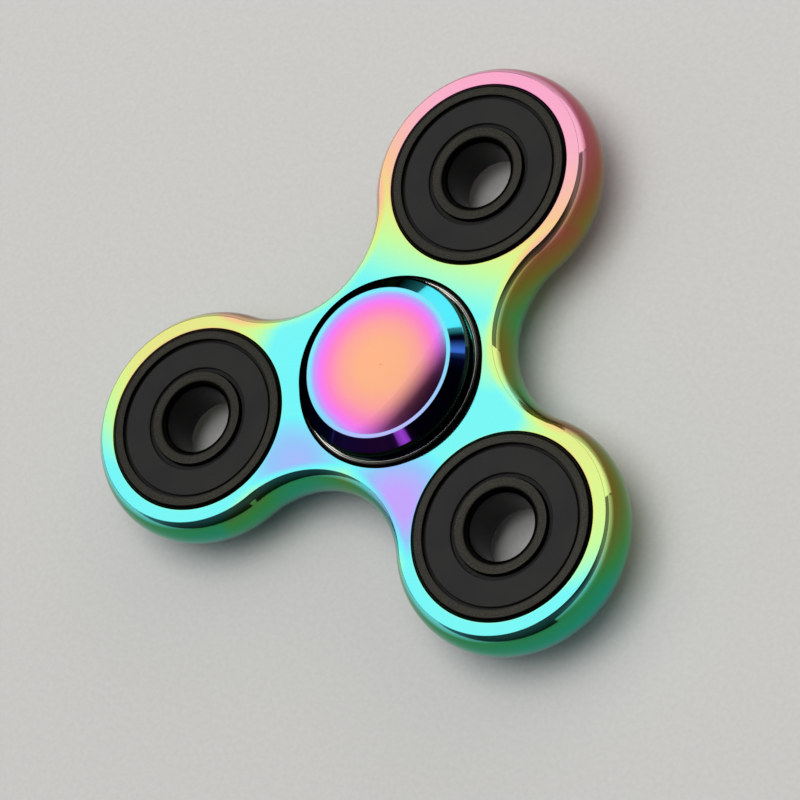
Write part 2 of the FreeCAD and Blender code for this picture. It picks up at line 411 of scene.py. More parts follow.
def lathe(skin, points, steps, centre=Vector(), closed=True, knurl=None):
    """Spin cross-section points about an upright axis and return the rows."""
    rows = []
    for r, z, normal_r, normal_z in points:
        if r < 1e-9:
            rows.append(skin.add_row([centre + Vector((0, 0, z))], [Vector((0, 0, normal_z))]))
            continue
        spots, normals = [], []
        for step in range(steps):
            angle = 2 * math.pi * step / steps
            out = Vector((math.cos(angle), math.sin(angle), 0))
            depth, slope = knurl(angle, r, z) if knurl else (0, 0)
            along = Vector((-out.y, out.x, 0))
            spots.append(centre + out * (r - depth) + Vector((0, 0, z)))
            normal = out * normal_r + along * slope * abs(normal_r) + Vector((0, 0, normal_z))
            normals.append(normal.normalized())
        rows.append(skin.add_row(spots, normals))
    pairs = list(zip(rows, rows[1:])) + ([(rows[-1], rows[0])] if closed else [])
    for lower, upper in pairs:
        if len(upper) == 1:
            skin.cap_row(lower, upper[0])
        elif len(lower) == 1:
            skin.cap_row(upper[::-1], lower[0])
        else:
            skin.join_rows(lower, upper)
    return rows


def finish_piece(skin, name, body, material, replaced, centre=Vector()):
    """Make the object round its own centre, give it its exact normals and fasten it to its body."""
    mesh = bpy.data.meshes.new(name)
    mesh.from_pydata(skin.spots, [], skin.faces)
    mesh.shade_smooth()
    mesh.normals_split_custom_set_from_vertices(skin.normals)
    mesh.materials.append(material)
    piece = bpy.data.objects.new(name, mesh)
    piece.location = centre
    bpy.context.scene.collection.objects.link(piece)
    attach(piece, body)
    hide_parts(replaced)
    print(f"{name}: {len(mesh.vertices)} vertices, {len(mesh.polygons)} faces")
    return piece


# %% [markdown]
# The body and the buttons wear a rainbow coating: a hard film a few hundred nanometres thick,
# laid on the polished metal in a vacuum. Light mirrored from its two sides interferes, so its
# hue follows its thickness: cyan where the film is thinnest here, then mint, yellow, salmon,
# pink and magenta as it grows. The film grows unevenly, thicker towards the ends of the lobes.
# So the material works out one number, the thickness, from where a point is on the part, and a
# colour ramp turns that number into the hue. The metal under it is a plain mirror.

# %% Marks on a polished coating
HAIRLINE = 0.10 * MM        # width of a wiping scratch, drawn far coarser than real so that it shows
HAIRLINE_RUN = 9            # and how many times longer than wide it is
HAIRLINE_WAYS = (24, -51)   # the two ways in degrees that the cloth went
SMEAR = 4.0 * MM            # size of a patch of finger grease
RIPPLE = 2.5 * MM           # slow waviness that polishing leaves in soft cast metal
RIPPLE_DEPTH = 0.012 * MM
SCRATCH_DEPTH = 0.004 * MM


def polished_marks(tree, place, shader):
    """Give a mirror coating its wiping scratches, grease patches and polishing ripple."""
    scratches = []
    for degrees in HAIRLINE_WAYS:
        turned = add(tree, "ShaderNodeMapping", {
            "Vector": place, "Rotation": (0, 0, math.radians(degrees)),
        }).outputs[0]
        drawn = stretch(tree, turned, (1 / HAIRLINE_RUN, 1, 1))
        scratches.append(noise(tree, drawn, HAIRLINE, 2))
    fine = fade(tree, work_out(tree, "MAXIMUM", *scratches), 0.62, 0.78, 0, 0.05)
    haze = fade(tree, noise(tree, place, SMEAR, 4), 0.35, 0.70, 0.045, 0.085)
    gloss = work_out(tree, "ADD", haze, fine)
    wave = bumps(tree, noise(tree, place, RIPPLE, 1), 0.10, RIPPLE_DEPTH)
    bump = bumps(tree, fine, 0.25, SCRATCH_DEPTH)
    feed(tree, bump, {"Normal": wave.outputs[0]})
    feed(tree, shader, {"Roughness": gloss, "Normal": bump.outputs[0]})


# %% Rainbow coating on the body
FILM_RAMP = [
    (0.00, "#c4a5fc"), (0.08, "#96c5fa"), (0.17, "#71f5fa"), (0.25, "#8efce4"), (0.36, "#c3fca5"),
    (0.44, "#def48e"), (0.49, "#ece189"), (0.55, "#f9c896"), (0.63, "#f8bcb2"), (0.70, "#f9b2c8"),
    (0.80, "#faa5cd"), (0.90, "#ff78f0"), (1.00, "#be8cfa"),
]
FILM_START = -0.30          # film thickness at the start of the ramp
FILM_SPAN = 1.60            # and how much of it the ramp covers
# Places where the film is thicker or thinner: centre and reach in mm, how much, and how flat-topped.
FILM_SPOTS = [
    ((0, 42), (60, 33), 0.95, 2), ((-29, 0), (13, 21), 0.46, 4), ((29, 0), (11, 18), 0.40, 4),
    ((8, -14), (8, 7), -0.32, 2), ((-7, -13.4), (7, 5.5), -0.20, 2), ((12, 6), (5, 5), 0.25, 2),
]
FILM_CLOUD = 16 * MM        # size of the faint clouds in the hue
FILM_CLOUD_SHARE = 0.10     # and how much film they add
WAIST_GLOW = 0.16           # thicker film along the edges of the hollows
WAIST_GLOW_REACH = 1.1 * MM
BORE_GLOW = 0.16            # and in a thin line round each bore
BORE_GLOW_REACH = 0.40 * MM
BEYOND = 1.0                # a distance in metres that is past every edge
# The rim's colours are deeper and darker than the face's: partly the film's hue, partly painted shade of
# walls that mirror a dim room.
RIM_RAMP_WITH_PAINTED_SHADE = [
    (0.00, "#c05a78"), (0.14, "#9a5a40"), (0.26, "#7c762c"), (0.40, "#3f9a52"), (0.52, "#12a088"),
    (0.64, "#0f7fa6"), (0.76, "#4457b0"), (0.88, "#6a2f9c"), (1.00, "#4a1030"),
]
RIM_START = 0.42            # place on the rim ramp where the film on the face is nil
RIM_FALL = -0.45            # and how far it moves as that film grows by one
RIM_SPAN = 0.24             # how much of the rim ramp is crossed from one face to the other
RIM_BLEND = (0.25 * MM, 0.80 * MM)  # depth below the face where the rim's hue starts and is full
BARE_METAL = "#fbf8ee"
HUB_STEP = 0.50 * MM        # width of the flat step that is cut round the middle bore
COAT_EDGE = 0.02 * MM       # how raggedly the coating ends there
hub_mouth = ring_radius + HUB_STEP


def film_thickness(tree, place, spots):
    """Coating thickness over a face, added up from every thick and thin spot as a round dome."""
    total = 0
    for (x, y), (reach_x, reach_y), amount, flatness in spots:
        away = add(tree, "ShaderNodeVectorMath", {0: place, 1: (x * MM, y * MM, 0)}, operation="SUBTRACT")
        share = stretch(tree, away.outputs[0], (1 / (reach_x * MM), 1 / (reach_y * MM), 0))
        power = work_out(tree, "POWER", length_of(tree, share), flatness)
        total = work_out(tree, "ADD", total, fade(tree, power, 0, 1, amount, 0))
    return total


def edge_glow(tree, place, centres, radius, reach, amount):
    """Extra film that fades out over a reach beyond circles of one radius."""
    flat = stretch(tree, place, (1, 1, 0))
    nearest = BEYOND
    for centre in centres:
        spot = (centre.x, centre.y, 0)
        away = add(tree, "ShaderNodeVectorMath", {0: flat, 1: spot}, operation="DISTANCE")
        nearest = work_out(tree, "MINIMUM", nearest, away.outputs["Value"])
    return fade(tree, nearest, radius, radius + reach, amount, 0, interpolation_type="SMOOTHSTEP")


def coated_body():
    """A tinted mirror: sharp reflections, whose hue drifts from cyan to pink along the casting."""
    material, tree, shader, place = new_material("rainbow_coated_zinc_alloy")
    film = film_thickness(tree, place, FILM_SPOTS)
    glow_waist = edge_glow(tree, place, waist_centres, waist_radius, WAIST_GLOW_REACH, WAIST_GLOW)
    glow_bore = edge_glow(tree, place, lobe_axis.values(), ring_radius, BORE_GLOW_REACH, BORE_GLOW)
    film = work_out(tree, "ADD", work_out(tree, "ADD", film, glow_waist), glow_bore)
    cloud = noise(tree, place, FILM_CLOUD, 3)
    film = work_out(tree, "MULTIPLY_ADD", cloud, FILM_CLOUD_SHARE, film)
    thinnest = FILM_START + FILM_CLOUD_SHARE / 2
    face = ramp(tree, fade(tree, film, thinnest, thinnest + FILM_SPAN), FILM_RAMP)
    # The rim is coated at a slant, so its hue runs on with depth below the upper face. Its darker colours
    # are partly painted shade.
    height = height_of(tree, place)
    depth = fade(tree, height, half_body, -half_body, 0, RIM_SPAN)
    start = work_out(tree, "MULTIPLY_ADD", film, RIM_FALL, RIM_START)
    rim = ramp(tree, work_out(tree, "ADD", start, depth), RIM_RAMP_WITH_PAINTED_SHADE)
    level = work_out(tree, "ABSOLUTE", height)
    on_rim = fade(tree, level, half_body - RIM_BLEND[0], half_body - RIM_BLEND[1])
    coated = mix(tree, on_rim, face, rim)
    # The middle bore and its step are cut after coating, so they are bare bright metal.
    radius = from_axis(tree, place)
    coat = fade(tree, radius, hub_mouth - COAT_EDGE, hub_mouth + COAT_EDGE / 2)
    colour = mix(tree, coat, paint(BARE_METAL), coated)
    polished_marks(tree, place, shader)
    feed(tree, shader, {"Base Color": colour, "Metallic": 1.0})
    return material


body_finish = coated_body()

# %% Rainbow coating on the buttons
# Colours from the middle of the dish to the edge of the flat ring, and round the cone.
DISH_RAMP = [
    (0.00, "#c98468"), (0.014, "#feb589"), (0.35, "#fcb48c"), (0.58, "#fca5a0"), (0.76, "#fc87c8"),
    (0.87, "#f67df5"), (0.95, "#bea0fa"), (1.00, "#96d0fa"),
]
DISH_LEAN = (0.82, -0.57, 0)    # the film in the dish is even further out on this side
DISH_LEAN_SHARE = 0.13
DISH_LEAN_FROM = 0.3        # share of the dish's radius where that begins
# Round the cone the colour is partly painted light: the near-black stretches are partly painted shade, and
# the bright blue, violet and cyan stops are painted highlights.
CONE_RAMP_WITH_PAINTED_LIGHT = [
    (0.00, "#06281e"), (0.20, "#0c1a3c"), (0.27, "#3a1c70"), (0.33, "#6a2a90"), (0.348, "#5a2488"),
    (0.372, "#b04af0"), (0.400, "#24155a"), (0.50, "#101648"), (0.555, "#141e5c"), (0.572, "#3f78e4"),
    (0.592, "#0a1434"), (0.604, "#0a1434"), (0.612, "#52e6f8"),
    (0.72, "#58ecfa"), (0.78, "#0c3a30"), (1.00, "#06281e"),
]
RING_RAMP = [
    (0.00, "#84ecfa"), (0.18, "#84d8fa"), (0.26, "#b0c0fc"), (0.38, "#b8bafc"), (0.50, "#98d0f8"),
    (0.60, "#78e6fa"), (1.00, "#84ecfa"),
]
SKIRT_COLOUR = "#2e463c"
EDGE_TINT = "#6c6c72"       # how much of a grazing reflection the dark cone and skirt give back
DISH_RADIUS = 8.60 * MM
CAP_RING_RADIUS = 9.05 * MM
SKIRT_FROM = 10.46 * MM     # distance from the axis where the cone's colours end
RING_BLEND = 0.04 * MM      # width of the change from the dish to the ring
CONE_BLEND = 0.06 * MM      # and of the next two changes outward


def coated_button():
    """A tinted mirror again, peach to magenta in the dish and nearly black on the steep cone, with painted
    shade and painted highlights round the cone.
    """
    material, tree, shader, place = new_material("rainbow_coated_steel_button")
    radius = from_axis(tree, place)
    share = work_out(tree, "DIVIDE", radius, DISH_RADIUS)
    lean = add(tree, "ShaderNodeVectorMath", {0: place, 1: DISH_LEAN}, operation="DOT_PRODUCT")
    lean = lean.outputs["Value"]
    lean = fade(tree, lean, DISH_LEAN_FROM * DISH_RADIUS, DISH_RADIUS, 0, DISH_LEAN_SHARE)
    dish = ramp(tree, work_out(tree, "SUBTRACT", share, lean), DISH_RAMP)
    way = add(tree, "ShaderNodeSeparateXYZ", {0: place}).outputs
    angle = work_out(tree, "ARCTAN2", way["Y"], way["X"])
    turn = fade(tree, angle, -math.pi, math.pi)
    # Painted shade and painted highlights, set by angle round the cone.
    cone = ramp(tree, turn, CONE_RAMP_WITH_PAINTED_LIGHT)
    ring = ramp(tree, turn, RING_RAMP)
    on_ring = fade(tree, radius, DISH_RADIUS - RING_BLEND, DISH_RADIUS)
    on_cone = fade(tree, radius, CAP_RING_RADIUS, CAP_RING_RADIUS + CONE_BLEND)
    on_skirt = fade(tree, radius, SKIRT_FROM, SKIRT_FROM + CONE_BLEND)
    upper = mix(tree, on_cone, mix(tree, on_ring, dish, ring), cone)
    colour = mix(tree, on_skirt, upper, paint(SKIRT_COLOUR))
    polished_marks(tree, place, shader)
    feed(tree, shader, {"Base Color": colour, "Metallic": 1.0, "Specular Tint": paint(EDGE_TINT)})
    return material


button_finish = coated_button()

# %% [markdown]
# The rings of the lobe bearings are blackened steel: a dark oxide grown in a hot bath, oiled, with
# the grind marks of the ring faces still glinting through. The outer ring in the middle is ground
# bright on its two faces and black elsewhere, and the balls are lapped to a near-perfect mirror.

# %% Bearing finishes
GRAIN = 0.11 * MM           # glinting grain on the ring faces
GRAIN_DEPTH = 0.010 * MM
GRIND = 0.12 * MM           # spacing of the turning lines, drawn a little coarse so that they show
GRIND_DEPTH = 0.004 * MM
# black of the ring's oxide, also used as painted shade on the rounded ring corners
OXIDE_AND_SHADE_BLACK = "#0b0b0a"
# Distance from the ring's axis where its black corners, which are painted shade, begin, and where they are
# full.
SHADED_BORE_CORNER = (4.75 * MM, 4.45 * MM)
SHADED_RIM_CORNER = (10.60 * MM, 10.75 * MM)
BRIGHT_FACE = (0.01 * MM, 0.03 * MM)    # depth below the face where the bright grinding ends
BALL_HAZE = 0.8 * MM        # size of the faint smears on a ball
NYLON_CLOUD = 1.5 * MM      # size of the pale clouds in moulded nylon
RUBBER_GRAIN = 0.18 * MM    # texture of the mould
RUBBER_GRAIN_DEPTH = 0.02 * MM
RUBBER_CLOUD = 5.0 * MM     # size of the worn and oily patches
# near-black of the painted shade in the seal's sunk lip and foot
RUBBER_SHADE_BLACK = "#060605"
PAINTED_SHADE_DEPTH = (0.35 * MM, 0.50 * MM)     # depth below the ring face where the painted shade in the sunk lip and foot starts and is full


def turning_lines(tree, place):
    """Fine rings round a piece's own axis, as a turning tool leaves them."""
    along = add(tree, "ShaderNodeCombineXYZ", {0: from_axis(tree, place), 1: height_of(tree, place)})
    return noise(tree, along.outputs[0], GRIND, 2)


def below_face(tree, place, depths):
    """0 above the first depth below the ring face, and 1 past the second."""
    level = work_out(tree, "ABSOLUTE", height_of(tree, place))
    return fade(tree, level, half_width - depths[0], half_width - depths[1])


def blackened_steel():
    """A dark satin metal with fine sparkle, streaked round the ring."""
    material, tree, shader, place = new_material("blackened_bearing_steel")
    grain = noise(tree, place, GRAIN, 3)
    marks = work_out(tree, "MULTIPLY_ADD", turning_lines(tree, place), 0.3, grain)
    colour = ramp(tree, marks, [(0.50, "#383732"), (0.70, "#45433d"), (0.88, "#625f56")])
    # The rounded corners beside the bore and beside the body are painted black, as painted shade.
    radius = from_axis(tree, place)
    corners = work_out(tree, "MAXIMUM", fade(tree, radius, *SHADED_BORE_CORNER), fade(tree, radius, *SHADED_RIM_CORNER))
    bump = bumps(tree, marks, 0.2, GRAIN_DEPTH)
    feed(tree, shader, {
        "Base Color": mix(tree, corners, colour, paint(OXIDE_AND_SHADE_BLACK)),
        "Roughness": fade(tree, grain, 0, 1, 0.30, 0.46),
        "Normal": bump.outputs[0],
        "Tangent": add(tree, "ShaderNodeTangent", direction_type="RADIAL", axis="Z").outputs[0],
        "Anisotropic": 0.6,
        "Metallic": 1.0,
    })
    return material


def ground_steel():
    """A bright, nearly white mirror on the faces, which gives crisp glints in the dark gap."""
    material, tree, shader, place = new_material("ground_bearing_steel")
    lines = turning_lines(tree, place)
    colour = ramp(tree, lines, [(0.3, "#eeebe2"), (0.7, "#fbf8ee")])
    bump = bumps(tree, lines, 0.06, GRIND_DEPTH)
    feed(tree, shader, {
        "Base Color": mix(tree, below_face(tree, place, BRIGHT_FACE), colour, paint(OXIDE_AND_SHADE_BLACK)),
        "Roughness": fade(tree, lines, 0, 1, 0.06, 0.16),
        "Normal": bump.outputs[0],
        "Metallic": 1.0,
    })
    return material


def lapped_steel():
    """A clean grey mirror with the faintest haze."""
    material, tree, shader, place = new_material("lapped_ball_steel")
    haze = noise(tree, place, BALL_HAZE, 3)
    feed(tree, shader, {
        "Base Color": ramp(tree, haze, [(0.3, "#cfcfd0"), (0.7, "#e3e3e2")]),
        "Roughness": fade(tree, haze, 0, 1, 0.03, 0.12),
        "Metallic": 1.0,
    })
    return material


def moulded_nylon():
    """A cream plastic with a soft sheen, which lets a little light in."""
    material, tree, shader, place = new_material("moulded_nylon_cage")
    cloud = noise(tree, place, NYLON_CLOUD, 3)
    feed(tree, shader, {
        "Base Color": ramp(tree, cloud, [(0.3, "#a2937a"), (0.7, "#b8aa90")]),
        "Roughness": fade(tree, cloud, 0, 1, 0.38, 0.55),
        "Subsurface Weight": 0.05,
    })
    return material


def seal_rubber():
    """A matt near-black with a fine moulded tooth and a broad soft highlight."""
    material, tree, shader, place = new_material("moulded_nitrile_rubber")
    grain = noise(tree, place, RUBBER_GRAIN, 4)
    cloud = noise(tree, place, RUBBER_CLOUD, 2)
    colour = ramp(tree, cloud, [(0.35, "#1b1b1a"), (0.65, "#222220")])
    bump = bumps(tree, grain, 0.2, RUBBER_GRAIN_DEPTH)
    # The sunk lip and foot are painted nearly black, as painted shade.
    feed(tree, shader, {
        "Base Color": mix(tree, below_face(tree, place, PAINTED_SHADE_DEPTH), colour, paint(RUBBER_SHADE_BLACK)),
        "Roughness": fade(tree, grain, 0, 1, 0.48, 0.66),
        "Normal": bump.outputs[0],
        "IOR": 1.52,
    })
    return material


dark_ring_finish = blackened_steel()
bright_ring_finish = ground_steel()
ball_finish = lapped_steel()
cage_finish = moulded_nylon()
seal_finish = seal_rubber()
print("finishes:", ", ".join(material.name for material in bpy.data.materials))

# %% [markdown]
# The body is one casting. Its outline is six arcs that run into each other, three round the
# lobes and three hollows between them. The rim swells outward between the two flat faces like
# the side of a barrel, so it is a cross-section carried along the outline. The bores are turned
# rows inside, and the two flat faces are filled in between.

# %% Build the body casting
RIM_BULGE = 1.38 * MM       # how far the rounded rim swells past the edge of the flat face
FACE_EDGE_ROUND = 0.10 * MM
LOBE_CHAMFER = 0.15 * MM
HUB_STEP_DEPTH = 0.20 * MM
HUB_STEP_CHAMFER = 0.12 * MM
BORE_EDGE = 0.05 * MM       # tiny rounds where a cutting tool leaves an edge
HUB_EDGE = 0.02 * MM
OUTLINE_STEPS = 132         # points along each of the six arcs
RIM_STEPS = 26
BORE_STEPS = 240


def outline():
    """Points round the edge of the flat face, each with the direction straight out of the metal."""
    joined = FACE_RADIUS + waist_radius
    waist_half = math.acos((waist_centre**2 + joined**2 - lobe_distance**2) / (2 * waist_centre * joined))
    lobe_half = half_pitch + waist_half
    points = []
    for lobe in LOBES:
        heading = math.atan2(lobe_axis[lobe].y, lobe_axis[lobe].x)
        waist_heading = heading + half_pitch
        lobe_middle = direction(heading, 0) * lobe_distance
        waist_middle = direction(waist_heading, 0) * waist_centre
        for step in range(OUTLINE_STEPS):
            share = 2 * step / OUTLINE_STEPS - 1
            out = direction(heading + lobe_half * share, 0)
            points.append((lobe_middle + out * FACE_RADIUS, out))
        for step in range(OUTLINE_STEPS):
            share = 2 * step / OUTLINE_STEPS - 1
            inward = direction(waist_heading + math.pi - waist_half * share, 0)
            points.append((waist_middle + inward * waist_radius, -inward))
    return points


def rim_section():
    """Cross-section of the rim, from the lower flat face round the barrel to the upper one."""
    barrel = (half_body**2 + RIM_BULGE**2) / (2 * RIM_BULGE)
    reach = math.asin(half_body / barrel)
    arc = arc_points((RIM_BULGE - barrel, 0), barrel, -reach, reach, RIM_STEPS)
    lower = (arc[0][0], arc[0][1], FACE_EDGE_ROUND)
    upper = (arc[-1][0], arc[-1][1], FACE_EDGE_ROUND)
    section = [(-MM, -half_body, 0), lower, *arc[1:-1], upper, (-MM, half_body, 0)]
    return rounded(section, closed=False)[1:-1]


def bore_section(chamfer):
    """Cross-section of a bearing bore with a chamfer at both ends, from the upper face down."""
    wide = ring_radius + chamfer
    straight = half_body - chamfer
    section = [
        (wide + MM, half_body, 0), (wide, half_body, BORE_EDGE), (ring_radius, straight, BORE_EDGE),
        (ring_radius, -straight, BORE_EDGE), (wide, -half_body, BORE_EDGE), (wide + MM, -half_body, 0),
    ]
    return rounded(section, closed=False)[1:-1]


def hub_section():
    """Cross-section of the middle bore: a flat step with a chamfered edge at both faces."""
    wide = hub_mouth + HUB_STEP_CHAMFER
    wall = half_body - HUB_STEP_CHAMFER
    step = half_body - HUB_STEP_DEPTH
    upper = [
        (wide + MM, half_body, 0), (wide, half_body, HUB_EDGE), (hub_mouth, wall, HUB_EDGE / 2),
        (hub_mouth, step, 0), (ring_radius, step, HUB_EDGE),
    ]
    lower = [(r, -z, radius) for r, z, radius in upper[::-1]]
    return rounded([*upper, *lower], closed=False)[1:-1]


def fill_flat(skin, height):
    """Fill the flat face at one height between its outer edge and its bores."""
    mesh = bmesh.new()
    spots = [mesh.verts.new(spot) for spot in skin.spots]
    mesh.verts.index_update()
    for face in skin.faces:
        mesh.faces.new([spots[i] for i in face])
    edges = [e for e in mesh.edges if e.is_boundary and all(abs(v.co.z - height) < 1e-7 for v in e.verts)]
    made = bmesh.ops.triangle_fill(mesh, edges=edges, use_beauty=True, normal=(0, 0, 1))
    faces = [[v.index for v in f.verts] for f in made["geom"] if isinstance(f, bmesh.types.BMFace)]
    upward = [f if polygon_area(skin, f) * height > 0 else f[::-1] for f in faces]
    mesh.free()
    return upward


def polygon_area(skin, face):
    """Twice the signed area of a triangle seen from above, which tells which way it faces."""
    a, b, c = (skin.spots[i] for i in face[:3])
    return (b - a).cross(c - a).z


def build_body():
    """The rim carried round the outline, the four bores, and the two flat faces between them."""
    skin = Skin()
    edge = outline()
    rows = []
    for offset, z, normal_out, normal_z in rim_section():
        spots = [spot + out * offset + Vector((0, 0, z)) for spot, out in edge]
        normals = [out * normal_out + Vector((0, 0, normal_z)) for spot, out in edge]
        rows.append(skin.add_row(spots, normals))
    for lower, upper in zip(rows, rows[1:]):
        skin.join_rows(lower, upper)
    lathe(skin, hub_section(), BORE_STEPS, closed=False)
    for lobe in LOBES:
        lathe(skin, bore_section(LOBE_CHAMFER), BORE_STEPS, centre=lobe_axis[lobe], closed=False)
    skin.faces += fill_flat(skin, half_body) + fill_flat(skin, -half_body)
    return finish_piece(skin, "body_casting", "spinner", body_finish, "body_frame")


build_body()

# %% [markdown]
# Every bearing is a standard small size: an outer ring and an inner ring with balls between
# them. The rings are turned, hardened and ground, with rounded corners. The balls run in a
# groove that is a little wider than they are.

# %% Build the bearing rings
BALL_RADIUS = 1.985 * MM
RACE_CLEARANCE = 0.02 * MM  # ball surface to raceway
EDGE = 0.06 * MM            # small breaks on the turned edges
BORE_CORNER = 0.70 * MM
RIM_CORNER = 0.40 * MM
HUB_RIM_CORNER = 0.12 * MM  # the middle ring is ground flat nearly to its edge
INNER_SHOULDER = 2.05 * MM  # bore wall to the shoulder beside the raceway
OUTER_SHOULDER = 2.00 * MM
SEAL_STEP = 0.40 * MM       # how far the inner ring steps down where the seal lip runs
OUTER_MOUTH = 1.30 * MM     # outer surface to the edge of the opening that the seal closes
SEAL_GROOVE = 0.20 * MM     # how far the snap-in groove is cut behind that opening
SEAL_FACE = half_width - 0.25 * MM      # height of the seal's face
SEAL_EDGE = SEAL_FACE - 0.30 * MM       # and of its lip and its snap-in foot
SEAL_BACK = SEAL_FACE - 0.75 * MM       # and of its back
SEAL_BACK_GAP = 0.20 * MM   # back of the seal to the shoulder of the inner ring
RING_STEPS = 240
RACE_STEPS = 12

inner_ring_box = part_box("lobe_1_inner_ring")
bore_radius = (inner_ring_box[1] - inner_ring_box[0]).x / 2 - INNER_SHOULDER
race_radius = BALL_RADIUS + RACE_CLEARANCE
pitch_radius = (bore_radius + ring_radius) / 2
inner_shoulder = bore_radius + INNER_SHOULDER
outer_shoulder = ring_radius - OUTER_SHOULDER
seal_step = inner_shoulder - SEAL_STEP
mouth = ring_radius - OUTER_MOUTH
groove = mouth + SEAL_GROOVE


def race_arc(shoulder):
    """The ball groove in one ring, from one shoulder edge to the other."""
    half = math.acos(abs(shoulder - pitch_radius) / race_radius)
    towards = 0 if shoulder > pitch_radius else math.pi
    return arc_points((pitch_radius, 0), race_radius, towards + half, towards - half, RACE_STEPS)


def inner_ring_section():
    """Cross-section of an inner ring: rounded bore corners, seal steps and the ball groove."""
    land = SEAL_BACK - SEAL_BACK_GAP
    return rounded([
        (bore_radius, -half_width, BORE_CORNER), (seal_step, -half_width, EDGE), (seal_step, -land, EDGE),
        (inner_shoulder, -land, EDGE), *race_arc(inner_shoulder), (inner_shoulder, land, EDGE),
        (seal_step, land, EDGE), (seal_step, half_width, EDGE), (bore_radius, half_width, BORE_CORNER),
    ])


def outer_ring_section(rim_corner):
    """Cross-section of an outer ring: its rim corners, seal mouths and grooves, and the ball groove."""
    return rounded([
        (ring_radius, -half_width, rim_corner), (ring_radius, half_width, rim_corner),
        (mouth, half_width, EDGE), (mouth, SEAL_EDGE, EDGE), (groove, SEAL_EDGE, EDGE),
        (groove, SEAL_BACK, EDGE), (outer_shoulder, SEAL_BACK, EDGE), *race_arc(outer_shoulder),
        (outer_shoulder, -SEAL_BACK, EDGE), (groove, -SEAL_BACK, EDGE), (groove, -SEAL_EDGE, EDGE),
        (mouth, -SEAL_EDGE, EDGE), (mouth, -half_width, EDGE),
    ])


def turned_piece(name, section, centre, body, material, replaced):
    """Spin one closed cross-section into a piece that stands at its own axis."""
    skin = Skin()
    lathe(skin, section, RING_STEPS)
    return finish_piece(skin, name, body, material, replaced, centre)


middle = Vector((0, 0, 0))
turned_piece(
    "center_outer_race", outer_ring_section(HUB_RIM_CORNER), middle,
    "spinner", bright_ring_finish, "center_outer_ring",
)
turned_piece(
    "center_inner_race", inner_ring_section(), middle,
    "hub", dark_ring_finish, "center_inner_ring",
)
for lobe in LOBES:
    axis = lobe_axis[lobe]
    turned_piece(
        f"lobe_{lobe}_outer_race", outer_ring_section(RIM_CORNER), axis,
        "spinner", dark_ring_finish, f"lobe_{lobe}_outer_ring",
    )
    turned_piece(
        f"lobe_{lobe}_inner_race", inner_ring_section(), axis,
        f"lobe_{lobe}_inner", dark_ring_finish, f"lobe_{lobe}_inner_ring",
    )

# %% [markdown]
# Each lobe bearing is closed on both sides by a rubber seal: a flat disc that snaps into a groove
# in the outer ring, with a thin lip that almost touches the inner ring. Moulded rubber has soft
# edges, so its corners are rounder than those of the steel.

# %% Build the seals
SOFT = 0.12 * MM            # moulded edges of the rubber
FOOT_SHOW = 0.35 * MM       # width of the sunk foot that shows round the disc
LIP_GAP = 0.10 * MM         # lip to the inner ring
LIP_WIDTH = 0.50 * MM
LIP_THICKNESS = 0.30 * MM


def seal_section(side):
    """Cross-section of one seal, for the upper side or mirrored for the lower one."""
    lip = seal_step + LIP_GAP
    disc_inner = lip + LIP_WIDTH
    disc_outer = mouth - FOOT_SHOW
    corners = [
        (lip, SEAL_EDGE - LIP_THICKNESS, EDGE), (disc_inner, SEAL_EDGE - LIP_THICKNESS, EDGE),
        (disc_inner, SEAL_BACK, EDGE), (groove, SEAL_BACK, EDGE), (groove, SEAL_EDGE, EDGE),
        (disc_outer, SEAL_EDGE, EDGE), (disc_outer, SEAL_FACE, SOFT), (disc_inner, SEAL_FACE, SOFT),
        (disc_inner, SEAL_EDGE, EDGE), (lip, SEAL_EDGE, EDGE),
    ]
    if side < 0:
        corners = [(r, -z, radius) for r, z, radius in corners[::-1]]
    return rounded(corners)


for lobe in LOBES:
    for side, where in ((1, "top"), (-1, "bottom")):
        turned_piece(
            f"lobe_{lobe}_rubber_{where}", seal_section(side), lobe_axis[lobe],
            "spinner", seal_finish, f"lobe_{lobe}_seal_{where}",
        )

# %% [markdown]
# The balls and the cages are already the right shape in the frame, so they stay, and only get
# their finish.

# %% Finish the balls and cages
for owner in ["center"] + [f"lobe_{lobe}" for lobe in LOBES]:
    for part, finish in (("balls", ball_finish), ("cage", cage_finish)):
        for slot in bpy.data.objects[f"{owner}_{part}"].material_slots:
            slot.material = finish

# %% [markdown]
# The two finger buttons are turned from steel. Each has a shallow dish for the fingertip, a
# narrow polished flat round it, a cone, and a skirt with fine straight knurling that gives a
# grip when the halves are screwed together through the bearing. The knurl is rolled in, so its
# teeth are small triangles all the way round, and they fade out at the two bevels.

# %% Build the finger buttons
DISH_DEPTH = 0.70 * MM
CAP_SHOULDER = 1.00 * MM    # flat ring down to the top of the skirt
CAP_UNDER = half_width + 0.40 * MM      # height of the underside
EDGE_BREAK = 0.35 * MM      # bevel along both edges of the skirt
UNDER_EDGE = 0.02 * MM      # small rounds: under the skirt,
SHOULDER_EDGE = 0.10 * MM   # at the outer edge of the cone,
RING_EDGE = 0.04 * MM       # and at both edges of the flat ring
RUN_OUT = 0.06 * MM         # length of bevel over which the teeth run out
BOSS_RADIUS = 5.50 * MM     # boss that presses on the inner ring
STUD_RADIUS = 3.00 * MM     # screw on the upper button
STUD_EDGE = 0.20 * MM
SLEEVE_EDGE = 0.10 * MM
SLEEVE_CLEARANCE = 0.02 * MM    # sleeve of the lower button to the bearing bore
THREAD_CLEARANCE = 0.05 * MM
SLEEVE_END_GAP = 0.20 * MM  # end of the sleeve to the upper button
SOCKET_DEPTH = 0.20 * MM    # bearing face to the bottom of the socket
KNURL_TEETH = 165
KNURL_DEPTH = 0.09 * MM
KNURL_SLOPE = 1.0           # how steep the flanks of the teeth are
KNURL_FADE = 0.02 * MM      # the teeth run out just inside the bevels
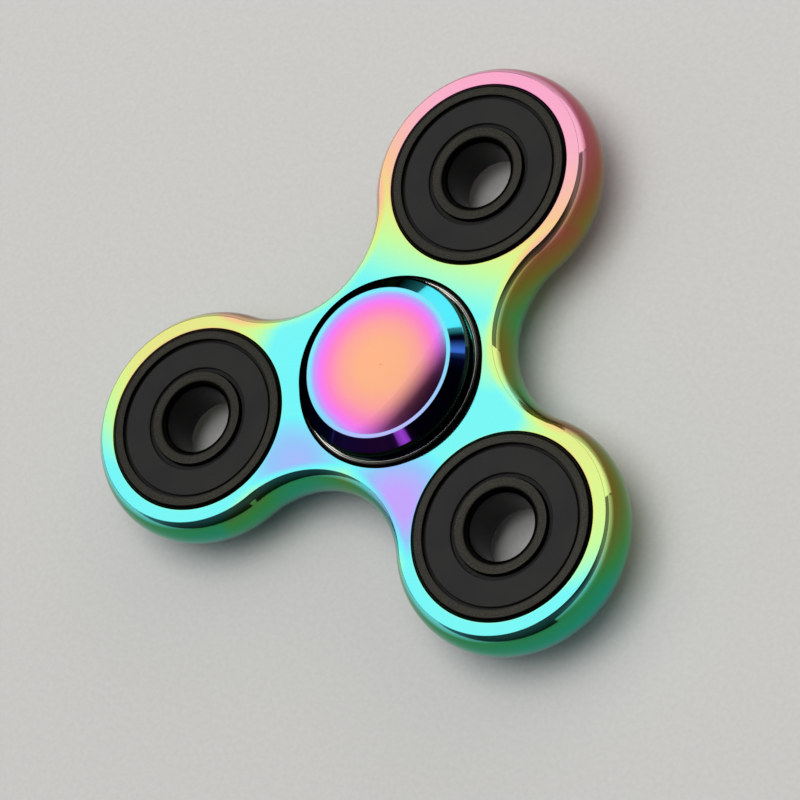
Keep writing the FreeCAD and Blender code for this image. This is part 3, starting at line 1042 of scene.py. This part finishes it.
TOOTH_STEPS = 4             # points along each tooth
DISH_STEPS = 16


def knurl_depth(angle, radius, height):
    """How deep the knurl is cut at one point, and how steeply the tooth slopes there."""
    inside = 1 if radius > button_radius - KNURL_FADE else 0
    phase = (angle * KNURL_TEETH / (2 * math.pi)) % 1
    wave = 1 - abs(2 * phase - 1)
    lean = KNURL_SLOPE * math.sin(2 * math.pi * phase)
    return KNURL_DEPTH * wave * inside, lean * inside


def button_outside():
    """Corners from the boss out under the button, up the skirt and over to the middle of the dish."""
    shoulder = button_top - CAP_SHOULDER
    sphere = (DISH_RADIUS**2 + DISH_DEPTH**2) / (2 * DISH_DEPTH)
    reach = math.asin(DISH_RADIUS / sphere)
    centre = (0, button_top - DISH_DEPTH + sphere)
    dish = arc_points(centre, sphere, reach - math.pi / 2, -math.pi / 2, DISH_STEPS)
    low = CAP_UNDER + EDGE_BREAK
    high = shoulder - EDGE_BREAK
    return [
        (BOSS_RADIUS, CAP_UNDER, EDGE), (button_radius - EDGE_BREAK, CAP_UNDER, UNDER_EDGE),
        (button_radius - RUN_OUT, low - RUN_OUT, 0), (button_radius, low, 0),
        (button_radius, high, 0), (button_radius - RUN_OUT, high + RUN_OUT, 0),
        (button_radius - EDGE_BREAK, shoulder, SHOULDER_EDGE), (CAP_RING_RADIUS, button_top, RING_EDGE),
        (dish[0][0], dish[0][1], RING_EDGE), *dish[1:-1], (0, dish[-1][1], 0),
    ]


def button_section(side, tail):
    """Closed section of one button, with its own stud or sleeve as the tail."""
    points = rounded([*tail, *button_outside()], closed=False)
    if side < 0:
        points = [(r, -z, normal_r, -normal_z) for r, z, normal_r, normal_z in points[::-1]]
    return points


stud_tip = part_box("top_cap")[0].z
stud = [
    (0, stud_tip, 0), (STUD_RADIUS, stud_tip, STUD_EDGE), (STUD_RADIUS, half_width, EDGE),
    (BOSS_RADIUS, half_width, EDGE),
]
sleeve_radius = bore_radius - SLEEVE_CLEARANCE
socket_radius = STUD_RADIUS + THREAD_CLEARANCE
sleeve_tip = SLEEVE_END_GAP - half_width
socket_floor = half_width - SOCKET_DEPTH
sleeve = [
    (0, socket_floor, 0), (socket_radius, socket_floor, EDGE), (socket_radius, sleeve_tip, EDGE),
    (sleeve_radius, sleeve_tip, SLEEVE_EDGE), (sleeve_radius, half_width, EDGE),
    (BOSS_RADIUS, half_width, EDGE),
]
# side, name, tail, node in the frame
BUTTONS = [(1, "upper_button", stud, "top_cap"), (-1, "lower_button", sleeve, "bottom_cap")]
for side, name, tail, node in BUTTONS:
    skin = Skin()
    lathe(skin, button_section(side, tail), KNURL_TEETH * TOOTH_STEPS, closed=False, knurl=knurl_depth)
    finish_piece(skin, name, "hub", button_finish, node)

# %% [markdown]
# The floor is a plain pale sheet with a faint paper tooth. It isn't part of the spinner.

# %% Lay the floor
FLOOR_SIZE = 3.0            # metres
PAPER_TOOTH = 0.6 * MM      # size of the bumps in the sheet
PAPER_TOOTH_DEPTH = 0.02 * MM


def lay_floor():
    """A matt white sheet that shows only soft shadows."""
    material, tree, shader, place = new_material("pale_paper")
    tooth = noise(tree, place, PAPER_TOOTH, 3)
    feed(tree, shader, {
        "Base Color": ramp(tree, tooth, [(0.3, "#e2e1de"), (0.7, "#e8e7e4")]),
        "Normal": bumps(tree, tooth, 0.05, PAPER_TOOTH_DEPTH).outputs[0],
        "Roughness": 0.85,
    })
    half = FLOOR_SIZE / 2
    corners = [(-half, -half, 0), (half, -half, 0), (half, half, 0), (-half, half, 0)]
    mesh = bpy.data.meshes.new("floor")
    mesh.from_pydata(corners, [], [(0, 1, 2, 3)])
    mesh.materials.append(material)
    floor = bpy.data.objects.new("floor", mesh)
    floor.location.z = cad_box[0].z
    bpy.context.scene.collection.objects.link(floor)


lay_floor()

# %% [markdown]
# Last, the size of the frame is printed: looks must never change the size.

# %% Print the size of the frame
print("frame size in mm: ", [round(v / MM, 3) for v in cad_box[1] - cad_box[0]])
